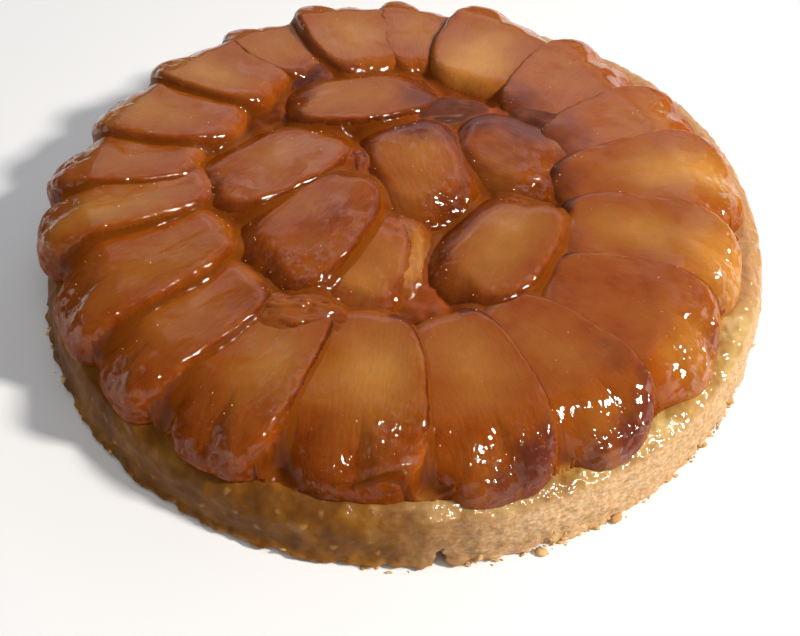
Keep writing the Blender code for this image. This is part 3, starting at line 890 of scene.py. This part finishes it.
def scatter_bits(name, places, sizes, turns, uneven, material, slot):
    """Many small bits as one piece: copies of a coarse ball, each stretched, dented and turned."""
    pattern = ball_pattern(BIT_TURNS, BIT_RINGS)
    unit = vertex_places(pattern)
    count, corners = len(places), len(unit)
    spots = np.repeat(places, corners, axis=0)
    each = np.tile(unit, (count, 1))
    dented = 1 + uneven * lumps(each * 0.01 + spots * 3, 9, 2, 5)
    x, y, z = (each * dented[:, None] * np.repeat(sizes, corners, axis=0)).T
    spun = np.repeat(turns, corners)
    across, along = np.cos(spun), np.sin(spun)
    vertices = spots + np.column_stack([x * across - y * along, x * along + y * across, z])
    vertices = np.clip(vertices, *np.array(cad_box))
    faces = [tuple(face.vertices) for face in pattern.polygons]
    copies = [tuple(start * corners + k for k in face) for start in range(count) for face in faces]
    mesh = bpy.data.meshes.new(name)
    mesh.from_pydata(vertices.tolist(), [], copies)
    mesh.shade_smooth()
    finish_piece(new_piece(name, mesh), material, slot)


def scatter_crumbs(material):
    """Flakes and crumbs round the foot, thickest at the front and the right."""
    chance = np.random.default_rng(CRUMB_SEED)
    degrees = np.concatenate([chance.normal(-48, 24, FLAKES), chance.uniform(-180, 180, FLAKES // 4)])
    angle = np.radians(degrees[np.abs(degrees - CRACK_ANGLE) > 3])
    count = len(angle)
    foot = foot_radius(angle)
    away = foot - 1.0 * MM + np.minimum(chance.exponential(0.45 * MM, count), 3.0 * MM)
    size = 0.22 * MM + chance.exponential(0.30 * MM, count)
    size = np.minimum(size, 1.3 * MM)
    low = size * 0.45
    height = np.where(away < foot - 0.2 * MM, low + chance.exponential(1.6 * MM, count), low)
    places = np.column_stack([away * np.cos(angle), away * np.sin(angle), height])
    sizes = np.column_stack([size * 1.3, size * chance.uniform(0.5, 1.0, count), size * 0.35])
    places = np.vstack([places, np.array(LARGE_CRUMBS)[:, :3] * MM])
    sizes = np.vstack([sizes, np.array(LARGE_CRUMBS)[:, 3:] * MM])
    turns = chance.uniform(0, math.tau, len(places))
    scatter_bits("loose_crumbs", places, sizes, turns, 0.35, material, "crust")


def scatter_bubbles(pieces, material):
    """Tiny bubbles in the syrup, painted pale as highlights, which give the fine sparkle on the tops and
    along the edges.
    """
    chance = np.random.default_rng(BUBBLE_SEED)
    found = []
    for piece in pieces:
        places, facings = vertex_places(piece.data), vertex_facings(piece.data)
        wrinkled, low = np.empty(len(places)), np.empty(len(places))
        piece.data.attributes["wrinkled"].data.foreach_get("value", wrinkled)
        piece.data.attributes["low"].data.foreach_get("value", low)
        crest = smooth_step(0.01, 0.04, low) * (1 - smooth_step(0.15, 0.3, low))
        weight = (0.10 + wrinkled + 1.5 * crest) * smooth_step(0.45, 0.9, facings[:, 2])
        picked = chance.choice(len(places), BUBBLES_EACH, replace=False, p=weight / weight.sum())
        found.append(places[picked])
    places = np.vstack(found)
    size = (0.10 + np.minimum(chance.exponential(0.07, len(places)), 0.35)) * MM
    sizes = np.column_stack([size, size, size * 0.8])
    places[:, 2] = np.minimum(places[:, 2], TOP_LIMIT - size)
    scatter_bits("syrup_bubbles_painted_glints", places, sizes, size * 0, 0.0, material, "caramel")


def linear(hex_colour):
    """A shader colour from sRGB hex."""
    parts = [int(hex_colour[k : k + 2], 16) / 255 for k in (1, 3, 5)]
    return tuple(p / 12.92 if p <= 0.04045 else ((p + 0.055) / 1.055) ** 2.4 for p in parts) + (1.0,)


def add_node(tree, kind, result, inputs=None, **settings):
    """Adds a shader node with its settings and its inputs, which are set to values or linked to results of
    other nodes, and gives back the result that is asked for."""
    made = tree.nodes.new("ShaderNode" + kind)
    for name, value in settings.items():
        if name == "stops":
            set_ramp(made.color_ramp.elements, value)
        else:
            setattr(made, name, value)
    for key, value in (inputs or {}).items():
        if isinstance(value, bpy.types.NodeSocket):
            tree.links.new(value, made.inputs[key])
        else:
            made.inputs[key].default_value = value
    return made.outputs[result]


def set_ramp(elements, stops):
    """Stops of a colour ramp, as position and hex colour."""
    while len(elements) > 1:
        elements.remove(elements[-1])
    elements[0].position, elements[0].color = stops[0][0], linear(stops[0][1])
    for position, hex_colour in stops[1:]:
        elements.new(position).color = linear(hex_colour)


def new_material(name, **sockets):
    """A material with a Principled shader whose sockets are set by name."""
    made = bpy.data.materials.new(name)
    made.use_nodes = True
    for key, value in sockets.items():
        made.node_tree.nodes["Principled BSDF"].inputs[key.replace("_", " ")].default_value = value
    return made, made.node_tree


def connect(material, **results):
    """Links results to the sockets of the material's shader by name."""
    shader = material.node_tree.nodes["Principled BSDF"]
    for key, value in results.items():
        material.node_tree.links.new(value, shader.inputs[key.replace("_", " ")])


def flesh_shade(tree, place, fibre, grains, marks):
    """The colour of the flesh: blotches 9 mm wide where the caramel soaked in unevenly, burnt patches, and
    painted shade along the cut edges."""
    blotch = add_node(
        tree, "TexNoise", "Fac", {"Vector": place, "Scale": 110.0, "Detail": 4.0, "Roughness": 0.55}
    )
    layers = (
        (marks["pale"], 0.62),
        (blotch, 0.42),
        (fibre, 0.13),
        (grains, 0.20),
        (marks["low"], -0.16),
        # Painted shade along the cut edges darkens the tone.
        (marks["seam"], -0.42),
        (marks["amber"], 0.55),
    )
    tone = -0.135
    for layer, share in layers:
        tone = add_node(tree, "Math", 0, {0: layer, 1: share, 2: tone}, operation="MULTIPLY_ADD")
    stops = ((0.0, "#642a05"), (0.08, "#7c3405"), (0.22, "#94470d"), (0.55, "#a46320"), (1.0, "#c28439"))
    shade = add_node(tree, "ValToRGB", "Color", {"Fac": tone}, stops=stops)
    # Burnt sugar is purple brown, in patches with a soft, broken edge.
    broken = add_node(tree, "TexNoise", "Fac", {"Vector": place, "Scale": 230.0, "Detail": 3.0})
    burn = add_node(tree, "Math", 0, {0: broken, 1: 0.7, 2: marks["burnt"]}, operation="MULTIPLY_ADD")
    burn = add_node(tree, "MapRange", 0, {"Value": burn, "From Min": 0.55, "From Max": 1.35})
    # Painted shade along the cut edges, mixed in as a dark colour.
    painted_seam_shade = add_node(tree, "Math", 0, {0: marks["seam"], 1: 0.75}, operation="MULTIPLY")
    for share, hex_colour in ((burn, "#6a301e"), (painted_seam_shade, "#4a1c06")):
        shade = add_node(tree, "Mix", 2, {0: share, 6: shade, 7: linear(hex_colour)}, data_type="RGBA")
    return shade


def syrup_film(tree, place, grains, wrinkled):
    """The surface of the film: ripples 5 mm wide and wrinkles 2.6 mm wide, and where it dried and puckered,
    facets 2.5 mm wide, each tilted its own way, with crooked edges."""
    ripple = add_node(tree, "TexNoise", "Fac", {"Vector": place, "Scale": 200.0, "Detail": 2.0})
    crooked = add_node(
        tree, "TexNoise", "Color", {"Vector": place, "Scale": 380.0, "Detail": 1.5, "Distortion": 0.5}
    )
    wander = {0: crooked, 1: (0.003, 0.003, 0.003), 2: place}
    drawn = add_node(tree, "VectorMath", 0, wander, operation="MULTIPLY_ADD")
    facet = add_node(tree, "TexVoronoi", "Color", {"Vector": drawn, "Scale": 400.0})
    leaning = {0: facet, 1: (0.4, 0.4, 0.0), 2: (0.3, 0.3, 1.0)}
    tilt = add_node(tree, "VectorMath", 0, leaning, operation="MULTIPLY_ADD")
    skin = add_node(tree, "NormalMap", 0, {"Color": tilt, "Strength": wrinkled}, uv_map="grain")
    puckered = add_node(tree, "MapRange", 0, {"Value": wrinkled, "To Max": 0.35})
    relief = add_node(tree, "Math", 0, {0: crooked.node.outputs["Fac"], 1: puckered}, operation="MULTIPLY")
    for layer, share in ((ripple, 0.08), (grains, 0.014)):
        relief = add_node(tree, "Math", 0, {0: layer, 1: share, 2: relief}, operation="MULTIPLY_ADD")
    film = {"Height": relief, "Strength": 1.0, "Distance": 1.1 * MM, "Normal": skin}
    return add_node(tree, "Bump", 0, film)


def cooked_apple():
    """Apple cooked through in caramel: translucent flesh, amber to pale gold, under a wet film of syrup that
    gives sharp reflections over a soft glow."""
    material, tree = new_material(
        "cooked_apple_in_caramel",
        Roughness=0.5,
        IOR=1.40,
        Specular_IOR_Level=0.0,
        Subsurface_Weight=1.0,
        Subsurface_Radius=(1.0, 0.42, 0.16),
        Subsurface_Scale=0.8 * MM,
        Coat_Weight=1.0,
        Coat_Roughness=0.03,
        Coat_IOR=1.46,
    )
    place = add_node(tree, "TexCoord", "Object")
    grain = add_node(tree, "UVMap", "UV", uv_map="grain")
    names = ("pale", "amber", "burnt", "low", "seam", "wrinkled")
    marks = {name: add_node(tree, "Attribute", "Fac", attribute_name=name) for name in names}
    # Fibres about 1 mm wide and 4 mm long run the length of the slice, and grains of flesh are 0.4 mm wide.
    stretched = add_node(tree, "Mapping", 0, {"Vector": grain, "Scale": (240.0, 900.0, 1.0)})
    fibre = add_node(tree, "TexNoise", "Fac", {"Vector": stretched, "Scale": 1.0, "Detail": 3.0})
    grains = add_node(tree, "TexNoise", "Fac", {"Vector": place, "Scale": 2300.0, "Detail": 1.0})
    # The film lies thick on top and over the amber ends, and thin down the sides.
    sides = {"Value": marks["low"], "From Min": 0.04, "From Max": 0.4, "To Min": 1.0, "To Max": 0.5}
    wet = {0: marks["amber"], 1: 0.7, 2: add_node(tree, "MapRange", 0, sides)}
    connect(
        material,
        Base_Color=flesh_shade(tree, place, fibre, grains, marks),
        Normal=add_node(tree, "Bump", 0, {"Height": fibre, "Strength": 0.6, "Distance": 0.3 * MM}),
        Coat_Weight=add_node(tree, "Math", 0, wet, operation="MULTIPLY_ADD", use_clamp=True),
        Coat_Normal=syrup_film(tree, place, grains, marks["wrinkled"]),
    )
    return material


def candied_peel():
    """Peel boiled to candy: glassy and dark red brown where it is thick, satin and mauve where it is thin."""
    material, tree = new_material(
        "candied_peel",
        Roughness=0.3,
        IOR=1.45,
        Subsurface_Weight=0.6,
        Subsurface_Radius=(1.0, 0.3, 0.15),
        Subsurface_Scale=2.0 * MM,
        Specular_IOR_Level=0.1,
        Coat_Roughness=0.04,
        Coat_IOR=1.48,
    )
    place = add_node(tree, "TexCoord", "Object")
    thick = add_node(tree, "Attribute", "Fac", attribute_name="wrinkled")
    blotch = add_node(tree, "TexNoise", "Fac", {"Vector": place, "Scale": 160.0, "Detail": 4.0})
    stops = ((0.3, "#5a281c"), (0.55, "#7b3a22"), (0.75, "#964b29"))
    red = add_node(tree, "ValToRGB", "Color", {"Fac": blotch}, stops=stops)
    stops = ((0.3, "#522b1e"), (0.55, "#6c3a27"), (0.75, "#844d34"))
    mauve = add_node(tree, "ValToRGB", "Color", {"Fac": blotch}, stops=stops)
    ripple = add_node(tree, "TexNoise", "Fac", {"Vector": place, "Scale": 350.0, "Detail": 2.0})
    connect(
        material,
        Base_Color=add_node(tree, "Mix", 2, {0: thick, 6: mauve, 7: red}, data_type="RGBA"),
        Coat_Weight=add_node(tree, "Math", 0, {0: thick, 1: 0.45}, operation="MULTIPLY"),
        Coat_Normal=add_node(tree, "Bump", 0, {"Height": ripple, "Strength": 0.5, "Distance": 0.4 * MM}),
    )
    return material


def caramel_glaze():
    """Caramel jelly: amber where it is thin, red brown where it is deep, golden on the ledge, with a liquid's
    gloss in its pools."""
    material, tree = new_material(
        "caramel_jelly",
        Roughness=0.4,
        IOR=1.46,
        Specular_IOR_Level=0.0,
        Subsurface_Weight=1.0,
        Subsurface_Radius=(1.0, 0.32, 0.1),
        Subsurface_Scale=1.5 * MM,
        Coat_Weight=1.0,
        Coat_Roughness=0.03,
        Coat_IOR=1.48,
    )
    place = add_node(tree, "TexCoord", "Object")
    names = ("deep", "pooled", "ledge")
    deep, pooled, ledge = [add_node(tree, "Attribute", "Fac", attribute_name=name) for name in names]
    stops = ((0.0, "#82420e"), (0.2, "#7b3c0a"), (0.6, "#743508"), (1.0, "#6a2c06"))
    shade = add_node(tree, "ValToRGB", "Color", {"Fac": deep}, stops=stops)
    for share, hex_colour in ((pooled, "#944515"), (ledge, "#b98238")):
        shade = add_node(tree, "Mix", 2, {0: share, 6: shade, 7: linear(hex_colour)}, data_type="RGBA")
    ripple = add_node(tree, "TexNoise", "Fac", {"Vector": place, "Scale": 260.0, "Detail": 2.0})
    connect(
        material,
        Base_Color=shade,
        Coat_Weight=add_node(tree, "Math", 0, {0: pooled, 1: 0.25, 2: 0.25}, operation="MULTIPLY_ADD"),
        Coat_Normal=add_node(tree, "Bump", 0, {"Height": ripple, "Strength": 0.3, "Distance": 0.4 * MM}),
    )
    return material


def baked_crust():
    """Shortcrust: sandy, matt and pale gold where it is dry, olive brown with a little gloss where caramel
    soaked in."""
    material, tree = new_material(
        "baked_shortcrust",
        Roughness=0.6,
        IOR=1.45,
        Specular_IOR_Level=0.15,
        Subsurface_Weight=0.35,
        Subsurface_Radius=(1.0, 0.55, 0.25),
        Subsurface_Scale=1.6 * MM,
        Coat_Roughness=0.12,
        Coat_IOR=1.46,
    )
    place = add_node(tree, "TexCoord", "Object")
    names = ("dry", "ledge", "crack", "golden", "edge")
    dry, ledge, crack, golden, edge = [
        add_node(tree, "Attribute", "Fac", attribute_name=name) for name in names
    ]
    # Patches 11 mm wide, grains of sand 0.9 mm wide, and layers 0.8 mm thick that show between the grains.
    patch = add_node(
        tree, "TexNoise", "Fac", {"Vector": place, "Scale": 90.0, "Detail": 4.0, "Roughness": 0.6}
    )
    sand = add_node(
        tree, "TexNoise", "Fac", {"Vector": place, "Scale": 1100.0, "Detail": 3.0, "Roughness": 0.7}
    )
    flattened = add_node(tree, "Mapping", 0, {"Vector": place, "Scale": (420.0, 420.0, 1300.0)})
    layers = add_node(tree, "TexNoise", "Fac", {"Vector": flattened, "Scale": 1.0, "Detail": 2.0})
    sanded = add_node(tree, "Mix", 0, {0: 0.45, 2: sand, 3: layers})
    dried = add_node(tree, "Math", 0, {0: patch, 1: 0.5, 2: dry}, operation="MULTIPLY_ADD")
    dried = add_node(tree, "MapRange", 0, {"Value": dried, "From Min": 0.35, "From Max": 1.2})
    on_ledge = add_node(tree, "Math", 0, {0: ledge, 1: dried}, operation="MULTIPLY")

    stops = ((0.3, "#643909"), (0.5, "#7d4b0e"), (0.7, "#99661c"))
    shade = add_node(tree, "ValToRGB", "Color", {"Fac": patch}, stops=stops)
    stops = ((0.3, "#a97c4a"), (0.5, "#caa274"), (0.7, "#e6cba8"))
    sandy = add_node(tree, "ValToRGB", "Color", {"Fac": sanded}, stops=stops)
    stops = ((0.3, "#8e5d1e"), (0.5, "#b48a44"), (0.7, "#d4b674"))
    glazed = add_node(tree, "ValToRGB", "Color", {"Fac": patch}, stops=stops)
    glazed = add_node(tree, "Mix", 2, {0: golden, 6: linear("#bf8c58"), 7: glazed}, data_type="RGBA")
    # Pale flakes and knobs, with painted light on the ragged foot.
    pale_and_painted_light, painted_crack_shade = linear("#c99a5c"), linear("#2c1a0b")
    # Painted shade darkens the inside of the crack.
    for share, colour in ((dried, sandy), (on_ledge, glazed), (edge, pale_and_painted_light), (crack, painted_crack_shade)):
        shade = add_node(tree, "Mix", 2, {0: share, 6: shade, 7: colour}, data_type="RGBA")

    # Syrup wets the ledge and the soaked side, and leaves the dry wall matt.
    soaked = add_node(tree, "Math", 0, {0: 1.0, 1: dried}, operation="SUBTRACT")
    wet = {0: soaked, 1: 0.12, 2: on_ledge}
    wet = add_node(tree, "Math", 0, wet, operation="MULTIPLY_ADD", use_clamp=True)
    damp = {"Value": patch, "From Min": 0.5, "From Max": 0.65, "To Max": 0.3}
    damp = add_node(tree, "MapRange", 0, damp)
    rough = add_node(tree, "Math", 0, {0: dried, 1: 0.8, 2: 0.2}, operation="MULTIPLY_ADD")
    rough = add_node(tree, "Math", 0, {0: rough, 1: sanded}, operation="MULTIPLY")
    film = add_node(tree, "TexNoise", "Fac", {"Vector": place, "Scale": 420.0, "Detail": 2.0})
    connect(
        material,
        Base_Color=shade,
        Normal=add_node(tree, "Bump", 0, {"Height": rough, "Strength": 0.6, "Distance": 0.5 * MM}),
        Coat_Weight=add_node(tree, "Math", 0, {0: wet, 1: damp}, operation="MAXIMUM"),
        Coat_Normal=add_node(tree, "Bump", 0, {"Height": film, "Strength": 0.6, "Distance": 0.7 * MM}),
    )
    return material


def mottled(name, scale, detail, stops, **sockets):
    """A plain material with soft blotches."""
    material, tree = new_material(name, **sockets)
    place = add_node(tree, "TexCoord", "Object")
    patch = add_node(tree, "TexNoise", "Fac", {"Vector": place, "Scale": scale, "Detail": detail})
    connect(material, Base_Color=add_node(tree, "ValToRGB", "Color", {"Fac": patch}, stops=stops))
    return material


def painted_glint_beads():
    """Bubbles in the syrup: tiny glossy beads, painted paler than the syrup round them as highlights, in
    tints 11 mm wide.
    """
    stops = ((0.35, "#b9793a"), (0.65, "#e6b678"))
    return mottled(
        "syrup_beads_painted_glints", 90.0, 2.0, stops, Roughness=0.2, IOR=1.45, Coat_Weight=1.0, Coat_Roughness=0.05
    )


def crumb_pastry():
    """Loose crumbs of shortcrust: dry, pale gold and matt, in tints 7 mm wide."""
    stops = ((0.3, "#bd8b4c"), (0.5, "#d8ad74"), (0.7, "#edd0a0"))
    return mottled("pastry_crumb", 140.0, 3.0, stops, Roughness=0.75, IOR=1.45, Specular_IOR_Level=0.2)


def plain_floor():
    """The plain pale floor that the tart stands on."""
    return new_material("plain_floor", Roughness=0.7, Base_Color=linear("#f7f7f7"))[0]


def make_floor():
    deselect()
    bpy.ops.mesh.primitive_plane_add(size=FLOOR_SIZE)
    floor = bpy.context.object
    floor.name = "floor"
    floor.data.materials.append(plain_floor())


def aim_matrix(place, target, roll=0.0):
    """A matrix that looks from the place to the target, turned clockwise by the roll in degrees."""
    forward = (target - place).normalized()
    right = forward.cross(Vector((0, 0, 1))).normalized()
    up = right.cross(forward)
    turn = math.radians(roll)
    right, up = right * math.cos(turn) + up * math.sin(turn), up * math.cos(turn) - right * math.sin(turn)
    matrix = Matrix((right, up, -forward)).transposed().to_4x4()
    matrix.translation = place
    return matrix


def add_panel(
    name, azimuth, elevation, distance, width, height, brightness, hex_colour, mirrored=True, lit=True
):
    """A panel aimed at the tart from this direction in degrees. A brightness of 1 is that of a white surface
    in full light; mirrored is whether it shows in reflections, and lit whether it lights the flesh."""
    lamp = bpy.data.lights.new(name, "AREA")
    lamp.shape = "RECTANGLE"
    lamp.size, lamp.size_y = width, height
    lamp.energy = brightness * math.pi * width * height
    lamp.color = linear(hex_colour)[:3]
    turn, rise = math.radians(azimuth), math.radians(elevation)
    way = Vector((math.cos(rise) * math.cos(turn), math.cos(rise) * math.sin(turn), math.sin(rise)))
    made = bpy.data.objects.new(name, lamp)
    made.visible_glossy = mirrored
    made.visible_diffuse = lit
    bpy.context.scene.collection.objects.link(made)
    made.matrix_world = aim_matrix(LIGHTS_AIM + way * distance, LIGHTS_AIM)


def light_scene():
    """A bright window at the right, which sparkles on the outer ends, panels behind whose faint reflection
    lies over the flat tops, and a soft light overhead."""
    add_panel("window", -19, 40, 1.6, 0.19, 0.21, 225.0, "#fffaf3")
    add_panel("window_high", -56, 57, 1.6, 0.15, 0.17, 200.0, "#fffaf3", lit=False)
    add_panel("back_panel_low", 80, 21.5, 1.4, 2.1, 0.47, 0.5, "#f2f4ff")
    add_panel("back_panel_high", 65, 47, 1.5, 2.2, 0.78, 0.29, "#f2f4ff")
    add_panel("back_panel_far", 69, 36.5, 1.5, 1.6, 0.26, 0.7, "#f2f4ff")
    add_panel("back_panel_right", 61, 44, 1.5, 0.9, 0.2, 0.4, "#f2f4ff")
    add_panel("back_panel_left", 112, 37, 1.5, 0.55, 0.24, 0.45, "#f2f4ff")
    add_panel("back_panel_top", 90, 72, 1.5, 1.8, 0.5, 0.2, "#f2f4ff")
    add_panel("overhead", -110, 72, 1.6, 1.6, 1.6, 1.0, "#ffffff", mirrored=False)
    world = bpy.data.worlds.new("studio")
    bpy.context.scene.world = world
    world.use_nodes = True
    background = world.node_tree.nodes["Background"]
    background.inputs["Color"].default_value = linear("#f2f4f8")
    background.inputs["Strength"].default_value = 0.09


def make_camera():
    camera = bpy.data.objects.new("camera", bpy.data.cameras.new("camera"))
    bpy.context.scene.collection.objects.link(camera)
    camera.matrix_world = aim_matrix(CAMERA_AT, CAMERA_AIM, CAMERA_ROLL)
    camera.data.sensor_width = 36
    camera.data.lens = CAMERA_LENS
    camera.data.clip_start = 0.01
    bpy.context.scene.camera = camera


finishes = {"apple": cooked_apple(), "candied": candied_peel()}
crust = make_crust(baked_crust())
slices = [make_slice(row, seed, finishes["apple"]) for seed, row in enumerate(SLICES)]
scraps = []
for seed, row in enumerate(SCRAPS):
    kind = row[0].split("_")[0]
    scraps.append(make_scrap(row, seed, finishes[kind], kind))
make_glaze([crust] + slices + scraps, caramel_glaze())
# Pale beads as painted highlights, along the crests and on the tops.
scatter_bubbles(slices, painted_glint_beads())
scatter_crumbs(crumb_pastry())
make_floor()
light_scene()
make_camera()
bpy.context.scene.view_settings.view_transform = "Standard"
